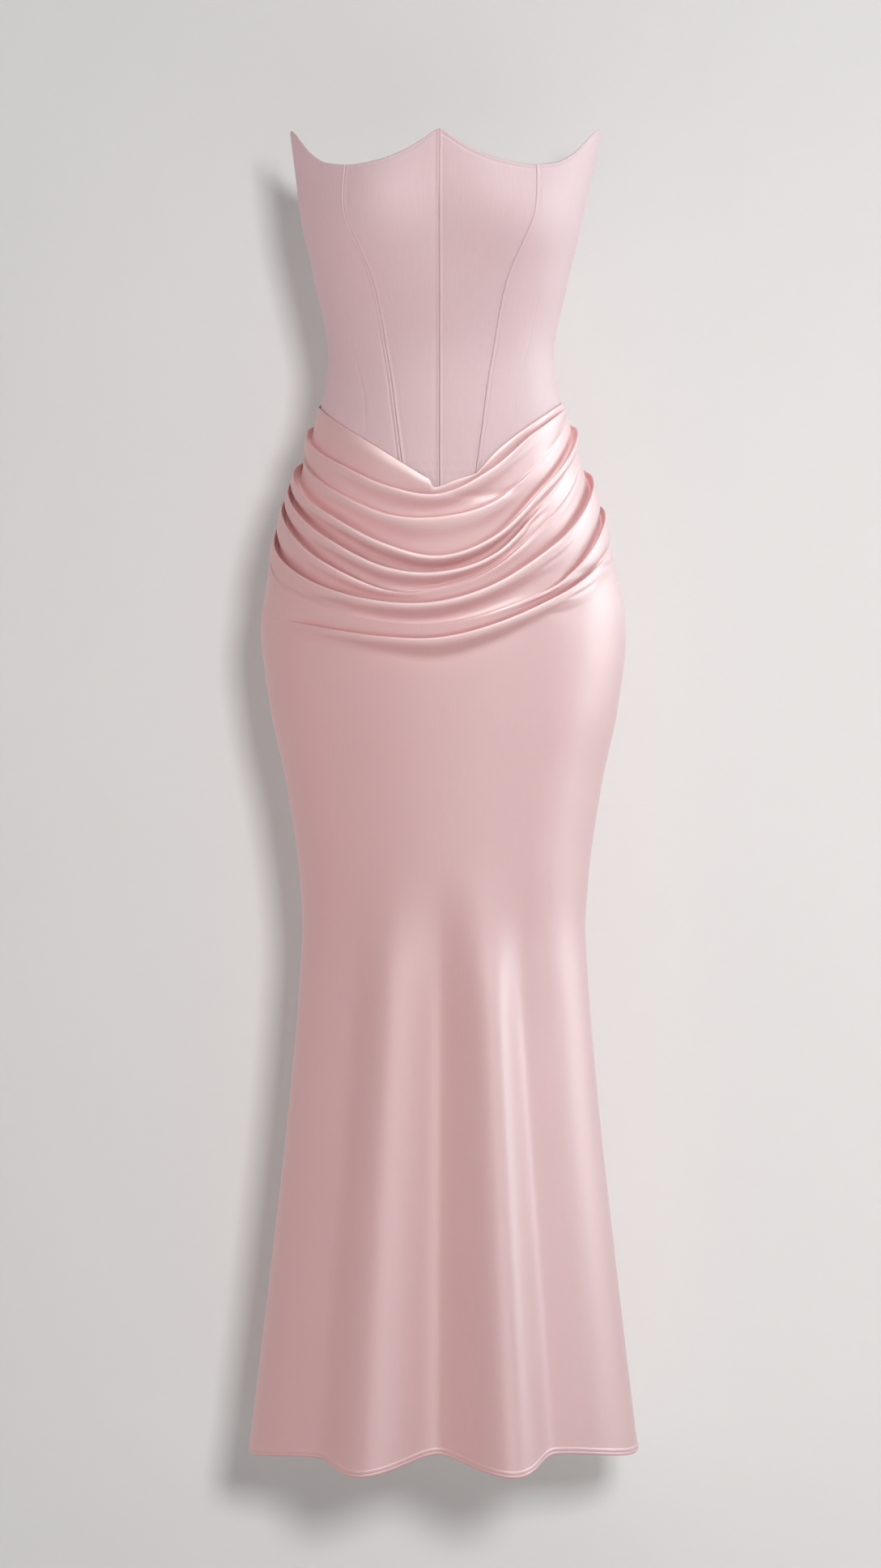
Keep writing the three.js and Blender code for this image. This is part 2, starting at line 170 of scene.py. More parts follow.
# Cowl folds from the top down: the height of the rolled edge and how far it stands off, at
# each of the nine angles, then the radius of its roll and the depth of the pocket behind it.
FOLD_ANGLES = np.array([-97.0, -75, -50, -25, 0, 25, 50, 75, 97])
FOLDS = [
    {
        "heights": (-60, -80, -105, -129, -137, -113, -73, -49, -44),
        "stands": (5, 6.5, 7, 7, 7, 6.5, 5.5, 2.5, 0),
        "roll": 1.1,
        "pocket": 7,
    },
    {
        "heights": (-80, -103, -133, -157, -160, -146, -106, -67, -53),
        "stands": (0, 2.5, 5, 5.8, 5.6, 4.6, 1.4, 0, 0),
        "roll": 2.6,
        "pocket": 0,
    },
    {
        "heights": (-96, -120, -155, -186, -199, -178, -125, -81, -59),
        "stands": (7, 9, 11, 12, 11.5, 11, 9.5, 7.5, 6),
        "roll": 1.6,
        "pocket": 11,
    },
    {
        "heights": (-112, -137, -178, -209, -215, -196, -143, -94, -70),
        "stands": (7, 9, 10.5, 11, 11, 8.5, 1, 0, 0),
        "roll": 1.6,
        "pocket": 10,
    },
    {
        "heights": (-128, -158, -203, -232, -231, -210, -161, -110, -84),
        "stands": (7, 8.5, 8.5, 3.5, 0.5, 1.5, 2.2, 1, 0),
        "roll": 1.6,
        "pocket": 9,
    },
    {
        "heights": (-150, -190, -227, -244, -244, -225, -184, -131, -105),
        "stands": (5, 7, 9.5, 11.5, 11.5, 10.5, 10, 8.5, 7),
        "roll": 1.8,
        "pocket": 11,
    },
    {
        "heights": (-176, -216, -251, -266, -267, -254, -226, -168, -138),
        "stands": (4, 1, 0, 0, 0, 0.5, 3.5, 7, 7),
        "roll": 1.4,
        "pocket": 8,
    },
    {
        "heights": (-232, -254, -269, -279, -280, -265, -236, -197, -170),
        "stands": (0, 0.5, 5.5, 10, 11, 10, 7, 1.5, 0),
        "roll": 1.8,
        "pocket": 8,
    },
]
DRAPE_END = (-262, -275, -285, -301, -308, -292, -258, -232, -215)

# Soft troughs (negative depth) and ridges in the cloth: where each starts and ends, how far
# its middle sags below the straight line, its half width and its depth.
FRONT_CREASES = table(
    "angle0 z0 angle1 z1 sag width depth",
    [
        (-72, -232, -38, -244, 4, 3.0, -1.3),
        (-66, -226, -30, -240, 5, 2.5, 0.8),
        (-62, -239, -41, -252, 2, 2.2, -1.1),
        (-60, -264, -46, -266, 1, 2.4, -1.2),
        (-58, -284, -26, -296, 2, 4.0, -1.2),
        (51, -241, 67, -220, 2, 2.0, -1.2),
        (44, -257, 62, -245, 2, 2.4, -1.3),
        (44, -219, 88, -196, 3, 3.0, -0.9),
        (4, -138, 45, -127, 5, 3.6, -1.5),
        (38, -172, 52, -148, 2, 2.6, -1.4),
        (40, -214, 58, -180, 3, 3.0, -1.6),
        (-4, -259, 42, -213, 8, 3.2, -1.0),
        (24, -209, 60, -139, 5, 3.4, -1.1),
        (-94, -300, -60, -318, 3, 9.0, -1.0),
        (60, -282, 95, -262, 3, 9.0, -1.0),
    ],
)
BACK_CREASES = table(
    "angle0 z0 angle1 z1 sag width depth",
    [
        (98, -62, 141, -88, 6, 4.5, 1.3),
        (98, -78, 128, -99, 5, 4.0, -1.1),
        (98, -101, 158, -131, 9, 6.0, 1.7),
        (98, -118, 139, -150, 8, 5.0, -1.3),
        (98, -141, 149, -174, 8, 7.0, 1.5),
        (99, -170, 131, -199, 6, 6.0, -1.1),
        (98, -208, 152, -226, 7, 9.0, 1.2),
        (122, -262, 174, -251, 5, 10.0, -0.9),
        (-98, -70, -133, -97, 6, 4.5, 1.4),
        (-98, -92, -121, -109, 4, 4.0, -1.2),
        (-98, -114, -153, -147, 10, 6.5, 1.7),
        (-98, -136, -142, -166, 7, 5.0, -1.2),
        (-98, -162, -157, -189, 9, 7.5, 1.4),
        (-99, -190, -128, -214, 5, 6.0, -1.0),
        (-98, -226, -147, -247, 7, 9.0, 1.1),
        (-118, -279, -171, -266, 5, 10.0, -0.9),
    ],
)


def curve(xs, ys, flowing=False):
    """A smooth curve through the values. A steady one never overshoots them: its slope at a
    value is the harmonic mean of the slopes on both sides, or nothing where the values turn.
    A flowing one is rounder: its slope is that of the parabola through three values."""
    xs, ys = np.asarray(xs, float), np.asarray(ys, float)
    step = np.diff(xs)
    rise = np.diff(ys) / step
    product = rise[:-1] * rise[1:]
    total = np.where(product > 0, rise[:-1] + rise[1:], 1.0)
    middle = np.where(product > 0, 2 * product / total, 0.0)
    if flowing:
        middle = (rise[:-1] * step[1:] + rise[1:] * step[:-1]) / (step[:-1] + step[1:])
    slope = np.concatenate([rise[:1], middle, rise[-1:]])

    def at(x):
        x = np.clip(x, xs[0], xs[-1])
        i = np.clip(np.searchsorted(xs, x, side="right") - 1, 0, len(step) - 1)
        t = (x - xs[i]) / step[i]
        s = 1 - t
        return (
            ys[i] * (1 + 2 * t) * s * s
            + ys[i + 1] * (3 - 2 * t) * t * t
            + step[i] * (slope[i] * t * s * s - slope[i + 1] * s * t * t)
        )

    return at


def smooth(low, high, x):
    """0 below low, 1 above high, and 3t^2 - 2t^3 between; low may be the larger."""
    t = np.clip((x - low) / (high - low), 0, 1)
    return t * t * (3 - 2 * t)


def bell(offset, width):
    """The Gaussian exp(-(offset / width)^2): 1 at the middle, and nothing far to both sides."""
    return np.exp(-((offset / width) ** 2))


half_width_at = curve(SECTIONS["z"], SECTIONS["half_width"])
front_at = curve(SECTIONS["z"], SECTIONS["front"])
back_at = curve(SECTIONS["z"], SECTIONS["back"])
neckline_at = curve(NECKLINE["angle"], NECKLINE["z"])
princess_at = curve(PRINCESS_SEAM["z"], PRINCESS_SEAM["angle"])
side_back_at = curve(SIDE_BACK_SEAM["z"], SIDE_BACK_SEAM["angle"])
dart_at = curve(DART["z"], DART["angle"])
flute_at = curve(FLUTES["angle"], FLUTES["out"])
hem_drop_at = curve(FLUTES["angle"], FLUTES["drop"])
waist_edge_at = curve(WAIST_EDGE["angle"], WAIST_EDGE["z"])
front_lean_at = curve(LEAN["z"], LEAN["front"])
side_lean_at = curve(LEAN["z"], LEAN["sides"])


def girth(angle, z):
    """Distance of the bodice from the axis: a squarish ellipse, (|sin|/width)^n +
    (|cos|/depth)^n to the power -1/n, plus a Gaussian bulge for each cup."""
    turn = np.radians(angle)
    depth = np.where(np.abs(angle) < 90, front_at(z), back_at(z))
    section = (
        (np.abs(np.sin(turn)) / half_width_at(z)) ** SQUARENESS
        + (np.abs(np.cos(turn)) / depth) ** SQUARENESS
    ) ** (-1 / SQUARENESS)
    off_angle = (np.abs(angle) - CUP["angle"]) / CUP["half_angle"]
    off_height = (z - CUP["z"]) / CUP["half_height"]
    return section + CUP["rise"] * np.exp(-(off_angle**2) - off_height**2)


def skirt_girth(angle, z):
    """The skirt lies outside the bodice, eases in below the hips, and stands in and out with
    the flutes, which open from the knee to the hem."""
    ease = OVER_BODICE * smooth(EASE_END, EASE_START, z)
    opened = np.clip((FLUTE_START - z) / (FLUTE_START - FLUTE_SETTLED), 0, 1.05)
    spread = 0.45 * smooth(0, 0.3, opened) + 0.55 * opened
    return girth(angle, z) + ease + flute_at(angle) * spread


def skirt_top(angle):
    """Height of the seam between bodice and skirt: level behind, a point in front."""
    to_side = np.clip(1 - np.abs(angle) / SIDE_SEAM, 0, 1)
    return WAIST_SEAM - WAIST_POINT_DROP * to_side**WAIST_POINT_SHARPNESS


def hem_at(angle):
    """Height of the hem: level, less the flute's drop."""
    return HEM_LEVEL - hem_drop_at(angle)


def place(angle, z, distance):
    """Points at an angle, height and distance from the axis, in millimetres."""
    turn = np.radians(angle)
    beside = np.sin(turn) ** 2
    leaning = front_lean_at(z) * (1 - beside) + side_lean_at(z) * beside
    x = distance * np.sin(turn) + leaning
    return np.stack([x, -distance * np.cos(turn), z + 0 * turn], axis=-1)


def creases(rows, angle, z):
    """Sum of the table's creases at each point. A crease is a Gaussian across its middle line,
    which runs from one end to the other with a parabolic sag, and fades at both ends."""
    total = np.zeros(np.broadcast(angle, z).shape)
    for i in range(len(rows["z0"])):
        a0, a1 = rows["angle0"][i], rows["angle1"][i]
        s = (angle - a0) / (a1 - a0)
        inside = np.clip(s, 0, 1)
        middle = rows["z0"][i] + (rows["z1"][i] - rows["z0"][i]) * inside
        middle = middle - 4 * rows["sag"][i] * inside * (1 - inside)
        fade = np.sin(np.pi * inside) ** 0.8 * (np.abs(s - 0.5) < 0.5)
        total = total + rows["depth"][i] * fade * bell(z - middle, rows["width"][i])
    return total


def unit(vectors):
    """The vectors at length one."""
    return vectors / np.maximum(np.linalg.norm(vectors, axis=-1, keepdims=True), 1e-12)


def grid_normals(points):
    """Outward normals of a grid whose rows run down and columns run to larger angles."""
    return unit(np.cross(np.gradient(points, axis=0), np.gradient(points, axis=1)))


def quads(index):
    """Faces of a grid of vertex numbers, or of many grids."""
    corners = [
        index[..., :-1, :-1],
        index[..., 1:, :-1],
        index[..., 1:, 1:],
        index[..., :-1, 1:],
    ]
    return np.stack(corners, axis=-1).reshape(-1, 4)


def cloth_surface(outer, thickness, seam_lip):
    """A closed cloth from the grid of its outer face: the inner face lies the thickness behind
    it along the normals. A ring at half the thickness rounds the border, and stands out by half
    a thickness at the top and foot and by the lip at the upright seams."""
    rows, cols = outer.shape[:2]
    normal = grid_normals(outer)
    inner = outer - thickness * normal
    middle = np.pad(outer - 0.5 * thickness * normal, ((1, 1), (1, 1), (0, 0)), "edge")
    along = np.zeros_like(middle)
    along[0, 1:-1] += 0.5 * thickness * unit(outer[0] - outer[1])
    along[-1, 1:-1] += 0.5 * thickness * unit(outer[-1] - outer[-2])
    along[1:-1, 0] += seam_lip * unit(outer[:, 0] - outer[:, 1])
    along[1:-1, -1] += seam_lip * unit(outer[:, -1] - outer[:, -2])
    along[0, 0] = along[0, 1] + along[1, 0]
    along[0, -1] = along[0, -2] + along[1, -1]
    along[-1, 0] = along[-1, 1] + along[-2, 0]
    along[-1, -1] = along[-1, -2] + along[-2, -1]
    middle = middle + along
    border = np.ones((rows + 2, cols + 2), bool)
    border[1:-1, 1:-1] = False
    count = rows * cols
    outer_index = np.zeros((rows + 2, cols + 2), int)
    outer_index[1:-1, 1:-1] = np.arange(count).reshape(rows, cols)
    outer_index[border] = 2 * count + np.arange(border.sum())
    inner_index = outer_index.copy()
    inner_index[1:-1, 1:-1] += count
    points = np.concatenate([outer.reshape(-1, 3), inner.reshape(-1, 3), middle[border]])
    faces = np.concatenate([quads(outer_index), quads(inner_index)[:, ::-1]])
    down = np.cumsum(np.linalg.norm(np.diff(outer, axis=0, prepend=outer[:1]), axis=-1), axis=0)
    across = np.cumsum(
        np.linalg.norm(np.diff(outer, axis=1, prepend=outer[:, :1]), axis=-1), axis=1
    )
    across = np.broadcast_to(across.mean(axis=0), down.shape)
    flat = np.stack([across, down], axis=-1)
    padded = np.pad(flat, ((1, 1), (1, 1), (0, 0)), "edge")
    uv = np.concatenate([flat.reshape(-1, 2), flat.reshape(-1, 2), padded[border]])
    return points, faces, uv


def stitch_row(path, away, length, thickness):
    """A row of stitches along a path on the cloth. Each is a plump thread, whose radius from
    end to end is r (1.03 - (2u - 1)^4)^0.5, and away points out of the cloth."""
    along = np.cumsum(np.linalg.norm(np.diff(path, axis=0, prepend=path[:1]), axis=1))
    count, gap, rings, sides = int(along[-1] / length), 0.22, 5, 6
    u = np.linspace(0, 1, rings)
    reach = (np.arange(count)[:, None] + gap / 2 + (1 - gap) * u) * along[-1] / count
    centre = np.stack([np.interp(reach, along, path[:, k]) for k in range(3)], -1)
    out = unit(np.stack([np.interp(reach, along, away[:, k]) for k in range(3)], -1))
    ahead = unit(centre[:, -1:] - centre[:, :1])
    beside = np.cross(out, ahead)
    turn = np.arange(sides)[:, None] * 2 * np.pi / sides
    ring = np.cos(turn) * out[..., None, :] + np.sin(turn) * beside[..., None, :]
    radius = thickness / 2 * np.sqrt(1.03 - (2 * u - 1) ** 4)
    points = centre[..., None, :] + radius[:, None, None] * ring
    index = np.arange(count * rings * sides).reshape(count, rings, sides)
    index = np.concatenate([index, index[..., :1]], axis=-1)
    ends = np.concatenate([index[:, 0, :-1], index[:, -1, -2::-1]])
    return points.reshape(-1, 3), quads(index), ends


def flat_area(outer):
    """Area of the outer grid in square metres: half the cross product of each quad's
    diagonals."""
    first = outer[1:, 1:] - outer[:-1, :-1]
    second = outer[1:, :-1] - outer[:-1, 1:]
    return float(np.linalg.norm(np.cross(first, second), axis=-1).sum() / 2) * MM * MM


def add_piece(name, points, faces, material, uv=None, extra=()):
    """An object from points in millimetres and faces of four corners, with any other faces in
    extra. It rides on the gown's body."""
    mesh = bpy.data.meshes.new(name)
    polygons = [list(map(int, face)) for face in faces] + [list(map(int, f)) for f in extra]
    mesh.from_pydata((points * MM).tolist(), [], polygons)
    if uv is not None:
        corner = np.zeros(len(mesh.loops), int)
        mesh.loops.foreach_get("vertex_index", corner)
        layer = mesh.uv_layers.new(name="cut")
        layer.data.foreach_set("uv", (uv[corner] * MM).ravel())
    mesh.shade_smooth()
    mesh.materials.append(material)
    mesh.update()
    piece = bpy.data.objects.new(name, mesh)
    bpy.context.scene.collection.objects.link(piece)
    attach(piece, BODY)
    return piece


class Value:
    """A shader value that takes part in arithmetic: each operation adds a Math node."""

    def __init__(self, shader, socket):
        self.shader = shader
        self.socket = socket

    def math(self, operation, *others):
        """A Math node that takes this value first."""
        sockets = {i + 1: other for i, other in enumerate(others)}
        return self.shader.node("ShaderNodeMath", {"operation": operation}, {0: self, **sockets})

    def __add__(self, other):
        return self.math("ADD", other)

    def __sub__(self, other):
        return self.math("SUBTRACT", other)

    def __mul__(self, other):
        return self.math("MULTIPLY", other)

    def __rsub__(self, other):
        return self.shader.node("ShaderNodeMath", {"operation": "SUBTRACT"}, {0: other, 1: self})

    __radd__ = __add__
    __rmul__ = __mul__


class Shader:
    """A material whose nodes are made by one method."""

    def __init__(self, name):
        self.material = bpy.data.materials.new(name)
        self.material.use_nodes = True
        self.tree = self.material.node_tree
        self.surface = self.tree.nodes["Principled BSDF"]

    def node(self, kind, settings=None, inputs=None, output=0):
        """Adds a node: its settings first, then the values or links of its sockets."""
        made = self.tree.nodes.new(kind)
        for key, setting in (settings or {}).items():
            setattr(made, key, setting)
        self.feed(made, inputs or {})
        return Value(self, made.outputs[output])

    def feed(self, made, inputs):
        """Links the values into a node's sockets, and sets the plain numbers."""
        for key, given in inputs.items():
            if isinstance(given, Value):
                self.tree.links.new(given.socket, made.inputs[key])
            else:
                made.inputs[key].default_value = given

    def cut(self):
        """The piece's own flat coordinates in metres: across and down the cloth."""
        return self.node("ShaderNodeUVMap", {"uv_map": "cut"})

    def object_place(self):
        """The point's place on the object, in metres."""
        return self.node("ShaderNodeTexCoord", output="Object")

    def noise(self, place, scale, detail=2.0, rough=0.5):
        """Smooth noise from 0 to 1 on a place that is stretched by scale per metre."""
        stretch = {"operation": "MULTIPLY"}
        where = self.node("ShaderNodeVectorMath", stretch, {0: place, 1: scale})
        inputs = {"Vector": where, "Scale": 1.0, "Detail": detail, "Roughness": rough}
        return self.node("ShaderNodeTexNoise", {"noise_dimensions": "3D"}, inputs)

    def blend(self, factor, first, second):
        """The first colour at 0 and the second at 1."""
        return self.node(
            "ShaderNodeMix",
            {"data_type": "RGBA"},
            {"Factor": factor, 6: first, 7: second},
            output=2,
        )

    def bump(self, height, depth, strength=1.0):
        """A normal that follows the height, which is the depth in metres at 1."""
        inputs = {"Height": height, "Distance": depth, "Strength": strength}
        return self.node("ShaderNodeBump", {}, inputs)


def colour(value, scale=1.0):
    """A colour with full alpha, darker or lighter by the scale."""
    return tuple(c * scale for c in value[:3]) + (1.0,)


def satin_material(name, tint, roughness, grain, gloss_change, shine):
    """Satin: a close weave with long fine slubs down the cloth, which change its colour and
    gloss a little, and a soft unevenness across the width of a hand."""
    shader = Shader(name)
    cut = shader.cut()
    slub = shader.noise(cut, (900.0, 45.0, 1.0), 3.0, 0.6)
    thread = shader.noise(cut, (2600.0, 700.0, 1.0), 2.0, 0.5)
    broad = shader.noise(shader.object_place(), (9.0, 9.0, 7.0), 3.0, 0.5)
    shade = (slub - 0.5) * grain + (thread - 0.5) * (0.6 * grain) + (broad - 0.5) * 0.25 + 0.5
    tone = shader.blend(shade, colour(tint, 0.93), colour(tint, 1.07))
    height = slub * 0.6 + thread * 0.4
    shader.feed(
        shader.surface,
        {
            "Base Color": tone,
            "Roughness": (broad - 0.5) * gloss_change + (thread - 0.5) * 0.08 + roughness,
            "Normal": shader.bump(height, 0.00012, 0.35),
            "Sheen Weight": 0.08,
            "Sheen Roughness": 0.35,
            "Sheen Tint": (1.0, 0.93, 0.94, 1.0),
            "Specular IOR Level": 0.5,
            "Coat Weight": shine,
            "Coat Roughness": roughness + 0.1,
        },
    )
    return shader.material


def tape_material(name, tint):
    """Woven tape: fine ribs across it and a matte face."""
    shader = Shader(name)
    place = shader.object_place()
    rib = shader.noise(place, (300.0, 300.0, 2600.0), 1.0)
    tone = shader.blend(rib, colour(tint, 0.88), colour(tint, 1.05))
    shader.feed(
        shader.surface,
        {"Base Color": tone, "Roughness": 0.8, "Normal": shader.bump(rib, 0.0002, 0.6)},
    )
    return shader.material


def enamel_material(name, tint):
    """Enamel over metal, with a few duller places."""
    shader = Shader(name)
    worn = shader.noise(shader.object_place(), (700.0, 700.0, 700.0), 3.0)
    tone = shader.blend(worn, colour(tint, 0.9), colour(tint, 1.04))
    shader.feed(
        shader.surface,
        {
            "Base Color": tone,
            "Roughness": worn * 0.2 + 0.22,
            "Metallic": 0.15,
            "Coat Weight": 0.3,
        },
    )
    return shader.material


def thread_material(name, tint):
    """Sewing thread with its fine twist."""
    shader = Shader(name)
    twist = shader.noise(shader.object_place(), (2600.0, 2600.0, 900.0), 1.0)
    tone = shader.blend(twist, colour(tint, 0.8), colour(tint, 1.0))
    shader.feed(shader.surface, {"Base Color": tone, "Roughness": 0.6})
    return shader.material


def wall_material(name, tint, one_sided):
    """Painted wall or floor with a faint mottle. A one-sided wall shows only from its front,
    and casts no shadow."""
    shader = Shader(name)
    mottle = shader.noise(shader.object_place(), (5.0, 5.0, 5.0), 5.0, 0.6)
    tone = shader.blend(mottle, colour(tint, 0.985), colour(tint, 1.015))
    shader.feed(
        shader.surface,
        {"Base Color": tone, "Roughness": 0.95, "Specular IOR Level": 0.1},
    )
    if one_sided:
        output = shader.tree.nodes["Material Output"]
        behind = shader.node("ShaderNodeNewGeometry", output="Backfacing")
        shadow = shader.node("ShaderNodeLightPath", output="Is Shadow Ray")
        clear = shader.node("ShaderNodeBsdfTransparent")
        surface = Value(shader, shader.surface.outputs[0])
        mixed = shader.node(
            "ShaderNodeMixShader", {}, {0: behind.math("MAXIMUM", shadow), 1: surface, 2: clear}
        )
        shader.feed(output, {"Surface": mixed})
    return shader.material


def length_property(name, description, default):
    """A length that the sidebar shows in the scene's unit."""
    return bpy.props.FloatProperty(
        name=name, description=description, default=default, subtype="DISTANCE", unit="LENGTH"
    )


def colour_property(name, description, default):
    """A colour with its swatch in the sidebar."""
    return bpy.props.FloatVectorProperty(
        name=name, description=description, default=default, subtype="COLOR"
    )


class GownSizes(bpy.types.PropertyGroup):
    """Sizes of the cloth and its sewing"""

    bodice_cloth: length_property(
        "Bodice cloth", "Thickness of the backed satin of the bodice", 0.0016
    )
    skirt_cloth: length_property("Skirt cloth", "Thickness of the satin of the skirt", 0.0009)
    seam_groove: length_property(
        "Seam groove", "How far a panel's edge is pressed in at a seam", 0.0006
    )
    hem_depth: length_property("Hem depth", "Depth of the narrow rolled hem", 0.0058)
    stitch_length: length_property(
        "Stitch length", "Length of one stitch of the hem's seam", 0.0022
    )
    fold_fullness: bpy.props.FloatProperty(
        name="Fold fullness",
        description="How far the cowl folds stand off, as a share of their table",
        default=1.0,
        subtype="FACTOR",
    )


class GownColours(bpy.types.PropertyGroup):
    """Colours of the gown and the studio"""

    bodice: colour_property("Bodice satin", "Colour of the bodice", (0.78, 0.52, 0.55))
    skirt: colour_property("Skirt satin", "Colour of the skirt", (0.78, 0.45, 0.455))
    zip_cloth: colour_property("Zip tape", "Colour of the zip's tape and coil", (0.72, 0.45, 0.47))
    enamel: colour_property("Zip enamel", "Colour of the slider and its pull", (0.72, 0.46, 0.48))
    thread: colour_property("Thread", "Colour of the sewing thread", (0.72, 0.44, 0.45))
    studio: colour_property("Studio", "Colour of the floor and wall", (0.53, 0.53, 0.525))


class StudioSizes(bpy.types.PropertyGroup):
    """Places of the camera, the wall and the floor"""

    camera_distance: length_property(
        "Camera distance", "From the camera to the gown's upright middle line", 5.5
    )
    camera_height: length_property(
        "Camera height", "Height of the camera against the waist", -0.4248
    )
    frame_height: length_property(
        "Frame height", "Height of what the camera shows at the gown", 1.5875
    )
    camera_turn: bpy.props.FloatProperty(
        name="Camera turn",
        description="How far the camera stands round to the gown's left",
        default=math.radians(1.5),
        subtype="ANGLE",
        unit="ROTATION",
    )
    wall_place: length_property(
        "Wall place", "Distance of the wall behind the gown's middle line", 0.2
    )
    floor_height: length_property("Floor height", "Height of the floor against the waist", -1.30)


def across_positions(width, columns):
    """Places across a panel from 0 to its width: close together near both seams, where the
    cloth turns in, and even between them. Width is an array, and so is each place."""
    near = np.array([0.12, 0.35, 0.7, 1.2, 1.8, 2.6, 3.4, 3.8, 4.1, 4.4, 4.8, 5.6])
    inner = np.linspace(0, 1, columns)[1:-1]
    left = near[None, :] + 0 * width[:, None]
    right = width[:, None] - near[None, ::-1]
    between = near[-1] + (width[:, None] - 2 * near[-1]) * inner[None, :]
    return np.concatenate([left, between, right], axis=1)


BODICE_ROWS = 130
# How far the foot of the bodice laps inside the skirt.
BODICE_LAP = 12.0
# The pressed seams of the bodice: each Gaussian's share of the groove, its place beside the
# seam and its width. A negative share presses the cloth in.
SEAM_PROFILE = [(-0.5, 0, 0.35), (0.7, 1.4, 0.7), (-0.25, 4.2, 1.6)]
# Lines pressed into the bodice: below the folded top edge, over the bodice's own hem at its
# point, down the dart, and the stitches beside the princess seam. The last two are full up to
# one height and gone at another.
TOP_EDGE_LINE = {"below": 3.4, "width": 0.7, "depth": 0.35}
BODICE_HEM_LINES = {"levels": (-108.5, -118), "width": 0.9, "depth": 0.45}
DART_LINE = {"full": 50, "gone": 70, "width": 0.8, "depth": 0.55}
TOPSTITCH_LINE = {"full": 22, "gone": 30, "aside": 4.1, "width": 0.4, "depth": 0.3}
# Rows close below the folded top edge.
BODICE_EDGE_ROWS = np.array([0, 0.4, 0.9, 1.6, 2.4, 3.0, 3.6, 4.6, 6.5])


def bodice_outer(near_seam, far_seam, columns, rows, sizes):
    """Outer grid of a bodice panel on the wearer's left: heights run from the neckline to the
    lap inside the skirt, and angles from one seam to the other. Gaussians of the distance to a
    seam press the cloth in there and raise it beside the seam, and others press in the line
    below the folded top edge and the lines of the hem."""
    groove = sizes.seam_groove / MM
    inner = np.linspace(0, 1, rows)[1:, None]
    z = np.zeros((len(BODICE_EDGE_ROWS) + rows - 1, 1))
    angle = near_seam(z)
    # Heights depend on angles and angles on heights, so both settle in a few rounds.
    for _ in range(8):
        top = neckline_at(angle)
        foot = np.minimum(skirt_top(angle), waist_edge_at(angle)) - BODICE_LAP
        edge = top[: len(BODICE_EDGE_ROWS)] - BODICE_EDGE_ROWS[:, None]
        first = top[len(BODICE_EDGE_ROWS) :] - BODICE_EDGE_ROWS[-1]
        last = foot[len(BODICE_EDGE_ROWS) :]
        z = np.concatenate([edge, first + (last - first) * inner])
        row_z = z.mean(axis=1)
        near, far = near_seam(z), far_seam(z)
        reach = np.radians(far.mean(axis=1) - near.mean(axis=1)) * girth(
            (near.mean(axis=1) + far.mean(axis=1)) / 2, row_z
        )
        share = across_positions(reach, columns) / reach[:, None]
        angle = near + (far - near) * share
    distance = girth(angle, z)
    to_seam = np.minimum(share, 1 - share) * reach[:, None]
    from_top = neckline_at(angle) - z
    for share_of_groove, aside, width in SEAM_PROFILE:
        distance = distance + share_of_groove * groove * bell(to_seam - aside, width)
    top_line, hem_lines = TOP_EDGE_LINE, BODICE_HEM_LINES
    pressed = bell(from_top - top_line["below"], top_line["width"])
    distance = distance - top_line["depth"] * pressed
    for level in hem_lines["levels"]:
        distance = distance - hem_lines["depth"] * bell(z - level, hem_lines["width"])
    return angle, z, distance, share * reach[:, None]


class GOWN_OT_bodice(bpy.types.Operator):
    """Eight corset panels with pressed seams and a folded top edge"""

    bl_idname = "gown.bodice"
    bl_label = "Bodice panels"

    def execute(self, context):
        sizes, colours = context.scene.gown_sizes, context.scene.gown_colours
        satin = satin_material(
            "bodice_satin", colours.bodice, roughness=0.66, grain=0.9, gloss_change=0.10, shine=0.2
        )
        centre = lambda z: 0.0 * z
        side = lambda z: SIDE_SEAM + 0.0 * z
        back = lambda z: CENTRE_BACK + 0.0 * z
        panels = [
            ("centre_front", centre, princess_at, 16),
            ("side_front", princess_at, side, 90),
            ("side_back", side, side_back_at, 14),
            ("centre_back", side_back_at, back, 12),
        ]
        for part, near, far, columns in panels:
            angle, z, distance, beside = bodice_outer(near, far, columns, BODICE_ROWS, sizes)
            if part == "side_front":
                off_dart = (angle - dart_at(z)) * np.radians(girth(angle, z))
                off_stitches = beside - TOPSTITCH_LINE["aside"]
                for line, off in ((DART_LINE, off_dart), (TOPSTITCH_LINE, off_stitches)):
                    fade = smooth(line["gone"], line["full"], z)
                    distance = distance - line["depth"] * fade * bell(off, line["width"])
            for word, hand in (("left", 1), ("right", -1)):
                outer = place(hand * angle, z, distance)
                if hand < 0:
                    outer = outer[:, ::-1]
                points, faces, uv = cloth_surface(outer, sizes.bodice_cloth / MM, SEAM_LIP)
                piece = add_piece(f"corset_{part}_{word}", points, faces, satin, uv)
                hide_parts(f"bodice_{part}_{word}")
                area = flat_area(outer)
        return {"FINISHED"}


# The face of a fold: its share of the stand where the cloth bulges, in the middle, and where it
# hangs straight, at the sides, then the share of the way down to the next rolled edge.
FOLD_FACE = [
    (1, 1, 0.16),
    (0.78, 0.97, 0.28),
    (0.34, 0.9, 0.40),
    (-0.02, 0.8, 0.53),
    (-0.18, 0.6, 0.68),
]


